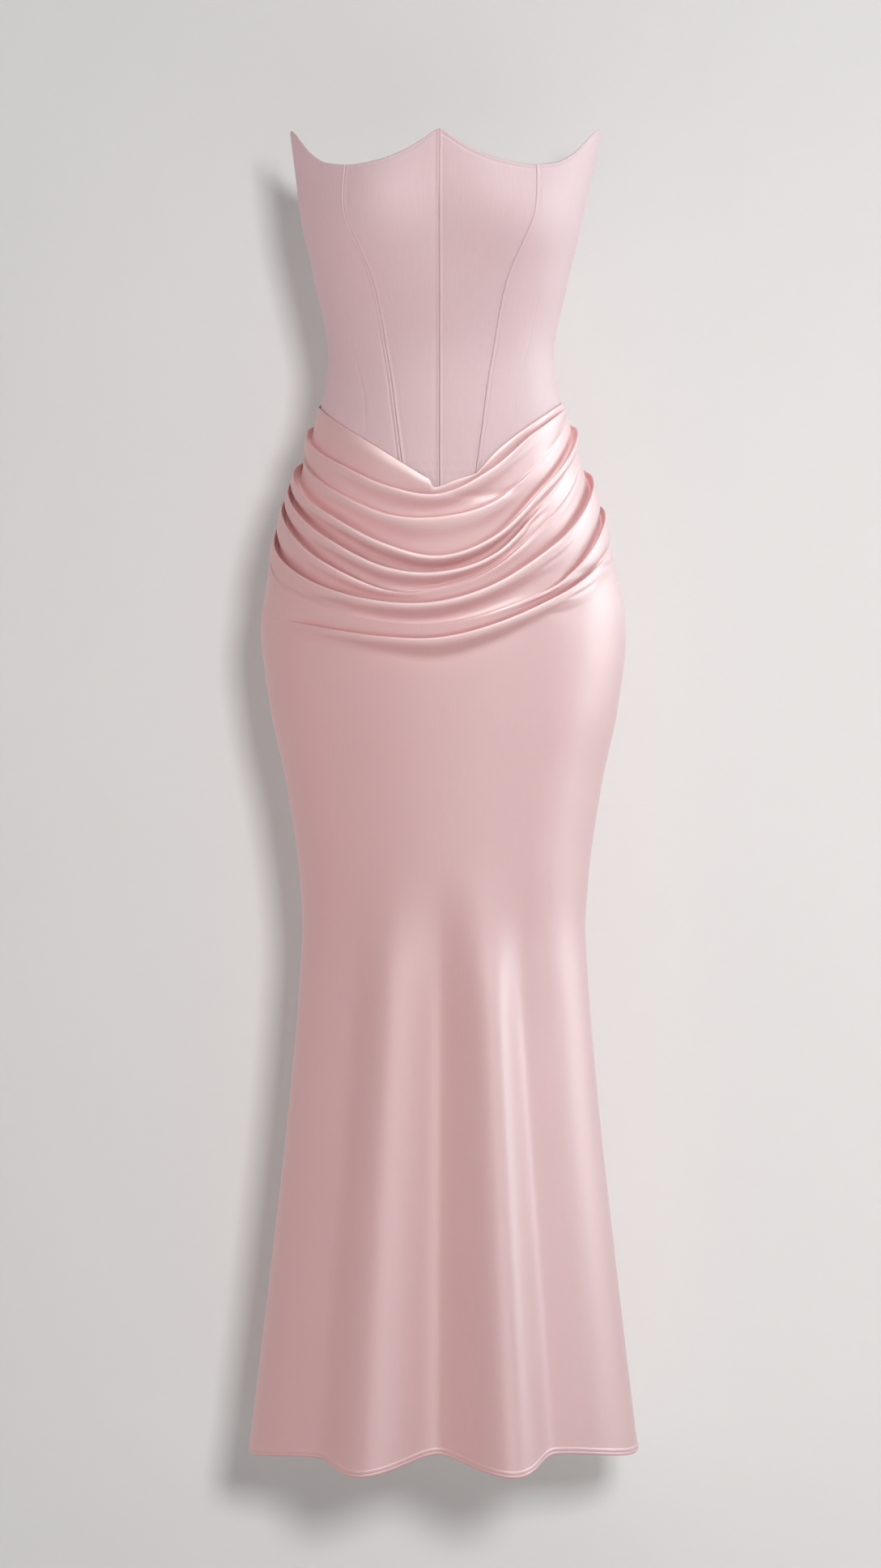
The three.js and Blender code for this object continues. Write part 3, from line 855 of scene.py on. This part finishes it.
def drape_controls(angle, fullness):
    """Control rows of the cowl folds: how far each stands off the skirt, its height, and how
    many rows of the cloth lead to the next, at each angle. From one rolled edge to the next the
    cloth bulges, falls back, goes down into the pocket behind the next fold, turns, and comes
    up and over that fold's rolled edge."""
    # The side seams pinch the folds.
    pinch = 0.3 + 0.7 * smooth(0, 8, SIDE_SEAM - np.abs(angle))
    rims = [fold["heights"] for fold in FOLDS] + [DRAPE_END]
    heights = [waist_edge_at(angle)] + [curve(FOLD_ANGLES, rim, True)(angle) for rim in rims]
    lead_in = heights[0] - heights[1]
    outs, levels, steps = [0 * angle] * 2, [heights[0], heights[0] - 0.35 * lead_in], [1, 2]
    for number, fold in enumerate(FOLDS):
        rim = heights[number + 1]
        above, below = heights[number] - rim, rim - heights[number + 2]
        stand = curve(FOLD_ANGLES, fold["stands"])(angle) * pinch * fullness
        # A fold rolls once it stands off, and hangs straighter towards the sides. The first
        # one lies against the bodice, so it sinks in less.
        rolled = smooth(1.5, 4.5, stand)
        sink = 1.2 if number == 0 else 2.2
        straight = smooth(28, 72, np.abs(angle)) * rolled
        radius = np.minimum(fold["roll"] * (1 - 0.4 * straight), 0.28 * stand)
        depth = np.minimum(np.minimum(fold["pocket"], 0.45 * below), 1.5 * above) * rolled
        lip = np.minimum(3.0, 0.14 * above) * (1 - 0.6 * rolled)
        flat_lip = lip * (1 - rolled)
        flat = 1 - rolled
        # Each step: how far out, how far above the rolled edge, and the rows to the next step.
        ladder = [
            (-0.8 * rolled, lip, 2),
            (-sink * rolled, 0.6 * flat_lip - 0.35 * depth, 1),
            (-sink * rolled, 0.5 * flat_lip - 0.85 * depth, 1),
            (0.4 * rolled, 0.4 * flat_lip - 1.05 * depth, 2),
            (1.6 * rolled, 0.3 * flat_lip - 0.75 * depth, 2),
            (
                0.15 * stand * flat + (stand - 2.3 * radius) * rolled * 0.8,
                0.2 * flat_lip - 0.35 * depth,
                1,
            ),
            (
                0.30 * stand * flat + (stand - 2.1 * radius) * rolled,
                0.1 * flat_lip - 0.6 * radius * rolled,
                2,
            ),
            (
                0.55 * stand * flat + (stand - 1.5 * radius) * rolled,
                0.45 * radius * rolled,
                2,
            ),
            (
                0.80 * stand * flat + (stand - 0.3 * radius) * rolled,
                -0.15 * flat_lip + 0.45 * radius * rolled,
                2,
            ),
            (stand, -0.3 * flat_lip - 0.8 * radius * rolled, 2),
            (1.03 * stand, -radius * rolled - 0.07 * below, 2),
        ]
        for bulged, hung, lower in FOLD_FACE:
            face = (1 - straight) * bulged + straight * hung
            ladder.append((face * stand, -radius * rolled - lower * below, 2))
        for out, level, rows in ladder:
            outs.append(out)
            levels.append(rim + level)
            steps.append(rows)
    return np.array(outs), np.array(levels), steps


def spline_rows(controls, steps):
    """Rows of a cubic B-spline through the control rows' hull: row t weighs the four nearest
    controls by the cubic basis. The ends are extended so that it starts and stops on them."""
    padded = np.concatenate(
        [2 * controls[:1] - controls[1:2], controls, 2 * controls[-1:] - controls[-2:-1]]
    )
    places = np.concatenate(
        [i + np.arange(n) / n for i, n in enumerate(steps[:-1])] + [[len(controls) - 1]]
    )
    i = np.minimum(places.astype(int), len(controls) - 2)
    t = (places - i)[:, None]
    return (
        (1 - t) ** 3 * padded[i]
        + (3 * t**3 - 6 * t**2 + 4) * padded[i + 1]
        + (-3 * t**3 + 3 * t**2 + 3 * t + 1) * padded[i + 2]
        + t**3 * padded[i + 3]
    ) / 6


HEM_PROUD = 0.5
# Stitches stand on the row of the hem that is 2.5 mm above the edge, in a pressed line.
STITCHED_ROW, STITCH_THICKNESS = -5, 0.45
STITCH_LEVEL, STITCH_PRESS = 2.6, 0.35
# Heights of the hem band's rows above the edge.
HEM_ROWS = np.array([14, 10, 7.6, 6.6, 6.0, 5.4, 4.6, 3.6, 3.1, 2.8, 2.5, 2.2, 1.6, 0.8, 0.0])


def hem_relief(above_edge, sizes):
    """The rolled hem stands proud of the skirt by a smooth step at its depth, and its stitches
    press a line into it, a Gaussian of the height above the edge."""
    depth = sizes.hem_depth / MM
    band = HEM_PROUD * smooth(depth + 0.5, depth - 0.5, above_edge)
    return band - STITCH_PRESS * bell(above_edge - STITCH_LEVEL, STITCH_THICKNESS)


def seam_press(angle, edges, distance, sizes):
    """How far the cloth is pressed in at the upright seams on both sides: a narrow and a wide
    Gaussian of the distance to the nearer seam."""
    reach = np.radians(1.0) * distance
    near = np.minimum(np.abs(angle - edges[0]), np.abs(edges[1] - angle)) * reach
    groove = sizes.seam_groove / MM
    return groove * (0.8 * bell(near, 0.8) + 0.2 * bell(near, 4.0))


# Columns beside an upright seam of the skirt, and where the even ones start, in degrees.
SEAM_COLUMNS = np.array([0, 0.15, 0.4, 0.75, 1.3, 2.0, 3.0])
EVEN_FROM = 4.2
FRONT_COLUMNS, BACK_COLUMNS = 140, 56
# Even rows from the folds or the waist to the hem band.
FRONT_ROWS, BACK_ROWS = 62, 110
# Rows of a skirt back below its waist seam, and how far the cloth is pressed in beside it.
WAIST_ROWS = np.array([0, 0.5, 1.2, 2.2, 3.6, 6.0])
WAIST_PRESS, WAIST_PRESS_REACH = 0.8, 5
# The right band ends at this angle beside the waist point, and stands over the left one there.
BAND_END, BAND_STANDS = -3.8, 1.3


def skirt_front_outer(sizes, columns):
    """Outer grid of the skirt front: the spline of the cowl folds, then even rows down to the
    hem band, all moved by the creases. Columns are close at the seams and where the bands cross."""
    half = SIDE_SEAM
    left, middle, right = (-half + EVEN_FROM, -8.6), (-7.8, 0.2), (1.4, half - EVEN_FROM)
    angle = np.concatenate(
        [
            -half + SEAM_COLUMNS,
            np.linspace(*left, columns * 11 // 25),
            np.linspace(*middle, 11),
            np.linspace(*right, columns * 14 // 25 - 11),
            half - SEAM_COLUMNS[::-1],
        ]
    )
    outs, levels, steps = drape_controls(angle, sizes.fold_fullness)
    end = curve(FOLD_ANGLES, DRAPE_END, True)(angle)
    low = hem_at(angle) + HEM_ROWS[0]
    share = np.linspace(0, 1, FRONT_ROWS)[:, None]
    rows_out = np.concatenate([outs, np.zeros((len(share), len(angle)))])
    rows_z = np.concatenate([levels, end + (low - end) * share])
    steps = list(steps) + [1] * len(share)
    out = spline_rows(rows_out, steps)
    z = spline_rows(rows_z, steps)
    hem = hem_at(angle)[None, :] + HEM_ROWS[1:, None]
    z = np.concatenate([z, hem])
    out = np.concatenate([out, np.zeros_like(hem)])
    angles = np.broadcast_to(angle, z.shape)
    out = out + creases(FRONT_CREASES, angles, z)
    above_rim = z - curve(FOLD_ANGLES, FOLDS[0]["heights"], True)(angle)
    over = smooth(BAND_END + 0.6, BAND_END - 0.6, angles) * smooth(-26, -8, angles)
    out = out + BAND_STANDS * over * smooth(1, 5, above_rim)
    out = out + hem_relief(z - hem_at(angle)[None, :], sizes)
    base = skirt_girth(angles, z)
    out = out - seam_press(angles, (-half, half), base, sizes)
    return place(angles, z, base + out)


def skirt_back_outer(hand, sizes, columns):
    """Outer grid of a skirt back: even rows from the waist seam to the hem band."""
    angle = np.concatenate(
        [
            SIDE_SEAM + SEAM_COLUMNS,
            np.linspace(SIDE_SEAM + EVEN_FROM, CENTRE_BACK - EVEN_FROM, columns),
            CENTRE_BACK - SEAM_COLUMNS[::-1],
        ]
    )
    top = WAIST_SEAM - WAIST_ROWS[:, None]
    low = hem_at(hand * angle)[None, :] + HEM_ROWS[0]
    share = np.linspace(0, 1, BACK_ROWS)[1:, None]
    z = np.concatenate(
        [
            top + 0 * angle[None, :],
            top[-1] + (low - top[-1]) * share,
            hem_at(hand * angle)[None, :] + HEM_ROWS[1:, None],
        ]
    )
    angles = np.broadcast_to(angle, z.shape)
    base = skirt_girth(hand * angles, z)
    out = hem_relief(z - hem_at(hand * angle)[None, :], sizes)
    out = out + creases(BACK_CREASES, hand * angles, z)
    out = out - seam_press(angles, (SIDE_SEAM, CENTRE_BACK), base, sizes)
    out = out - WAIST_PRESS * smooth(WAIST_PRESS_REACH, 0, WAIST_SEAM - z)
    outer = place(hand * angles, z, base + out)
    return outer if hand > 0 else outer[:, ::-1]


# Width and length in metres that the skirt panels are cut to, with the folds laid flat.
FRONT_CUT, BACK_CUT = (0.68, 1.19), (0.285, 1.08)


class GOWN_OT_skirt(bpy.types.Operator):
    """Skirt front with rolled cowl folds, two skirt backs, and their hem with its stitches"""

    bl_idname = "gown.skirt"
    bl_label = "Skirt panels"

    def execute(self, context):
        sizes, colours = context.scene.gown_sizes, context.scene.gown_colours
        satin = satin_material(
            "skirt_satin", colours.skirt, roughness=0.52, grain=0.5, gloss_change=0.12, shine=0.75
        )
        panels = [
            ("front", skirt_front_outer(sizes, FRONT_COLUMNS), "gathered", FRONT_CUT),
            ("back_left", skirt_back_outer(1, sizes, BACK_COLUMNS), "hung", BACK_CUT),
            ("back_right", skirt_back_outer(-1, sizes, BACK_COLUMNS), "hung", BACK_CUT),
        ]
        for part, outer, held, flat in panels:
            points, faces, uv = cloth_surface(outer, sizes.skirt_cloth / MM, SEAM_LIP)
            piece = add_piece(f"satin_skirt_{part}", points, faces, satin, uv)
            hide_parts(f"skirt_{part}")
            min(flat_area(outer), flat[0] * flat[1])
        rows = [
            stitch_row(
                outer[STITCHED_ROW],
                grid_normals(outer)[STITCHED_ROW],
                sizes.stitch_length / MM,
                STITCH_THICKNESS,
            )
            for _, outer, _, _ in panels
        ]
        start = np.cumsum([0] + [len(points) for points, _, _ in rows])
        add_piece(
            "hem_stitches",
            np.concatenate([points for points, _, _ in rows]),
            np.concatenate([row[1] + first for row, first in zip(rows, start)]),
            thread_material("hem_thread", colours.thread),
            extra=np.concatenate([row[2] + first for row, first in zip(rows, start)]),
        )
        return {"FINISHED"}


class GOWN_OT_zip(bpy.types.Operator):
    """Zip tape, coil, slider and pull at the centre back"""

    bl_idname = "gown.zip"
    bl_label = "Zip"

    def execute(self, context):
        colours = context.scene.gown_colours
        cloth = tape_material("zip_tape_cloth", colours.zip_cloth)
        enamel = enamel_material("zip_enamel", colours.enamel)
        for node, material in (
            ("zip_tape", cloth),
            ("zip_slider", enamel),
            ("zip_pull", enamel),
        ):
            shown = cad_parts[node]
            for place_in in shown.material_slots:
                place_in.material = material
        return {"FINISHED"}


# Soft boxes: name, place and size in metres, power in watts, tint, what each one lights, and how
# it shows. A gloss one is only mirrored in the cloth, and a matte one isn't mirrored. The wall's
# soft shadow comes from the lamp for the backdrop alone.
LAMPS = [
    ("high", (0.6, -2.6, 2.2), (2.4, 1.4), 275, (1.0, 0.97, 0.95), "gown", "gloss"),
    ("above", (0.9, -1.4, 2.6), (1.4, 1.2), 205, (1.0, 1.0, 1.0), "gown", "gloss"),
    ("low", (0.9, -2.4, -0.75), (2.0, 0.9), 32, (0.88, 0.96, 1.0), "gown", "gloss"),
    ("edge", (2.0, -0.2, 0.3), (0.7, 2.2), 92, (0.86, 0.97, 1.0), "gown", "gloss"),
    ("rim", (1.7, 0.9, 0.6), (1.2, 2.4), 64, (0.86, 0.98, 1.0), "gown", "gloss"),
    ("right", (2.9, -0.8, 0.8), (1.8, 2.6), 20, (1.0, 1.0, 1.0), "gown", "matte"),
    ("left", (-2.6, -1.6, -0.2), (1.6, 2.0), 25, (1.0, 0.99, 0.97), "gown", "matte"),
    ("near", (0.7, -2.2, 0.5), (0.8, 0.8), 7, (1.0, 1.0, 1.0), "gown", "matte"),
    ("front", (0.75, -5.2, 0.1), (0.55, 0.55), 40, (1.0, 1.0, 1.0), "gown", "matte"),
    ("shadow", (0.85, -5.2, 0.35), (0.7, 0.7), 190, (1.0, 1.0, 1.0), "backdrop", "matte"),
    ("wall", (2.2, -2.6, -0.1), (1.0, 1.0), 73, (1.0, 0.965, 0.955), "stage", "matte"),
    ("behind", (1.5, 3.5, 1.5), (3.0, 3.0), 25, (1.0, 1.0, 1.0), "all", "all"),
]
LAMP_AIM = (0.0, 0.0, -0.4)
AIR_COLOUR, AIR_STRENGTH = (1.0, 0.95, 0.92, 1.0), 0.1
BACKDROP_REACH, BACKDROP_TOP, FLOOR_REACH = 6, 5, 9
CAMERA_SENSOR, CAMERA_ASIDE = 36.0, -0.0033


def soft_box(gown, stage, name, spot, size, power, tint, lights, shows):
    """A lamp of the table, turned towards the gown's middle. One for the stage passes through
    the gown, and only lifts the wall."""
    data = bpy.data.lights.new(name, "AREA")
    data.shape = "RECTANGLE"
    data.size, data.size_y = size
    data.energy = power
    data.color = tint
    lamp = bpy.data.objects.new(name, data)
    lamp.location = spot
    ahead = Vector(LAMP_AIM) - Vector(spot)
    lamp.rotation_euler = ahead.to_track_quat("-Z", "Y").to_euler()
    lamp.visible_camera = False
    lamp.visible_diffuse = shows != "gloss"
    lamp.visible_glossy = shows != "matte"
    if lights == "gown":
        lamp.light_linking.receiver_collection = gown
    if lights in ("stage", "backdrop"):
        lamp.light_linking.receiver_collection = stage
    if lights == "stage":
        lamp.light_linking.blocker_collection = stage
    bpy.context.scene.collection.objects.link(lamp)


def plane(name, corners, material):
    """A four-cornered piece of the stage."""
    mesh = bpy.data.meshes.new(name)
    mesh.from_pydata(corners, [], [(0, 1, 2, 3)])
    mesh.materials.append(material)
    made = bpy.data.objects.new(name, mesh)
    bpy.context.scene.collection.objects.link(made)
    made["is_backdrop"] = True
    return made


class GOWN_OT_studio(bpy.types.Operator):
    """Pale floor and wall, soft lights and the camera"""

    bl_idname = "gown.studio"
    bl_label = "Studio"

    def execute(self, context):
        studio, colours = context.scene.gown_studio, context.scene.gown_colours
        scene = context.scene
        y, z = studio.wall_place, studio.floor_height
        wall = wall_material("studio_wall", colours.studio, True)
        floor = wall_material("studio_floor", colours.studio, False)
        gown = bpy.data.collections.new("gown")
        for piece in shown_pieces():
            gown.objects.link(piece)
        stage = bpy.data.collections.new("stage")
        b, top, f = BACKDROP_REACH, BACKDROP_TOP, FLOOR_REACH
        upright = [(-b, y, z), (b, y, z), (b, y, top), (-b, y, top)]
        level = [(-f, -f, z), (f, -f, z), (f, f, z), (-f, f, z)]
        stage.objects.link(plane("backdrop", upright, wall))
        stage.objects.link(plane("floor", level, floor))
        for row in LAMPS:
            soft_box(gown, stage, *row)
        world = bpy.data.worlds.new("studio_air")
        world.use_nodes = True
        air = world.node_tree.nodes["Background"]
        air.inputs["Color"].default_value = AIR_COLOUR
        air.inputs["Strength"].default_value = AIR_STRENGTH
        scene.world = world
        data = bpy.data.cameras.new("camera")
        data.sensor_width = CAMERA_SENSOR
        data.lens = CAMERA_SENSOR * studio.camera_distance / studio.frame_height
        camera = bpy.data.objects.new("camera", data)
        turn = studio.camera_turn
        camera.location = (
            studio.camera_distance * math.sin(turn) + CAMERA_ASIDE * math.cos(turn),
            -studio.camera_distance * math.cos(turn) + CAMERA_ASIDE * math.sin(turn),
            studio.camera_height,
        )
        camera.rotation_euler = (math.pi / 2, 0, turn)
        scene.collection.objects.link(camera)
        scene.camera = camera
        scene.view_settings.view_transform = "Standard"
        return {"FINISHED"}


class GOWN_PT_panel(bpy.types.Panel):
    """Lists the operators, the sizes and the colours in the sidebar"""

    bl_label = "Strapless Gown"
    bl_idname = "GOWN_PT_panel"
    bl_space_type = "VIEW_3D"
    bl_region_type = "UI"
    bl_category = "Gown"

    def draw(self, context):
        layout = self.layout
        for kind in OPERATORS:
            layout.operator(kind.bl_idname)
        for name in GROUPS:
            group = getattr(context.scene, name)
            box = layout.box()
            for key in type(group).__annotations__:
                box.prop(group, key)


OPERATORS = (GOWN_OT_bodice, GOWN_OT_skirt, GOWN_OT_zip, GOWN_OT_studio)
GROUPS = {
    "gown_sizes": GownSizes,
    "gown_colours": GownColours,
    "gown_studio": StudioSizes,
}


def register():
    for kind in (*GROUPS.values(), *OPERATORS, GOWN_PT_panel):
        bpy.utils.register_class(kind)
    for name, kind in GROUPS.items():
        setattr(bpy.types.Scene, name, bpy.props.PointerProperty(type=kind))


def unregister():
    for name in GROUPS:
        delattr(bpy.types.Scene, name)
    for kind in reversed((*GROUPS.values(), *OPERATORS, GOWN_PT_panel)):
        bpy.utils.unregister_class(kind)


def main():
    register()
    bpy.ops.gown.bodice()
    bpy.ops.gown.skirt()
    bpy.ops.gown.zip()
    bpy.ops.gown.studio()


if __name__ == "__main__":
    main()
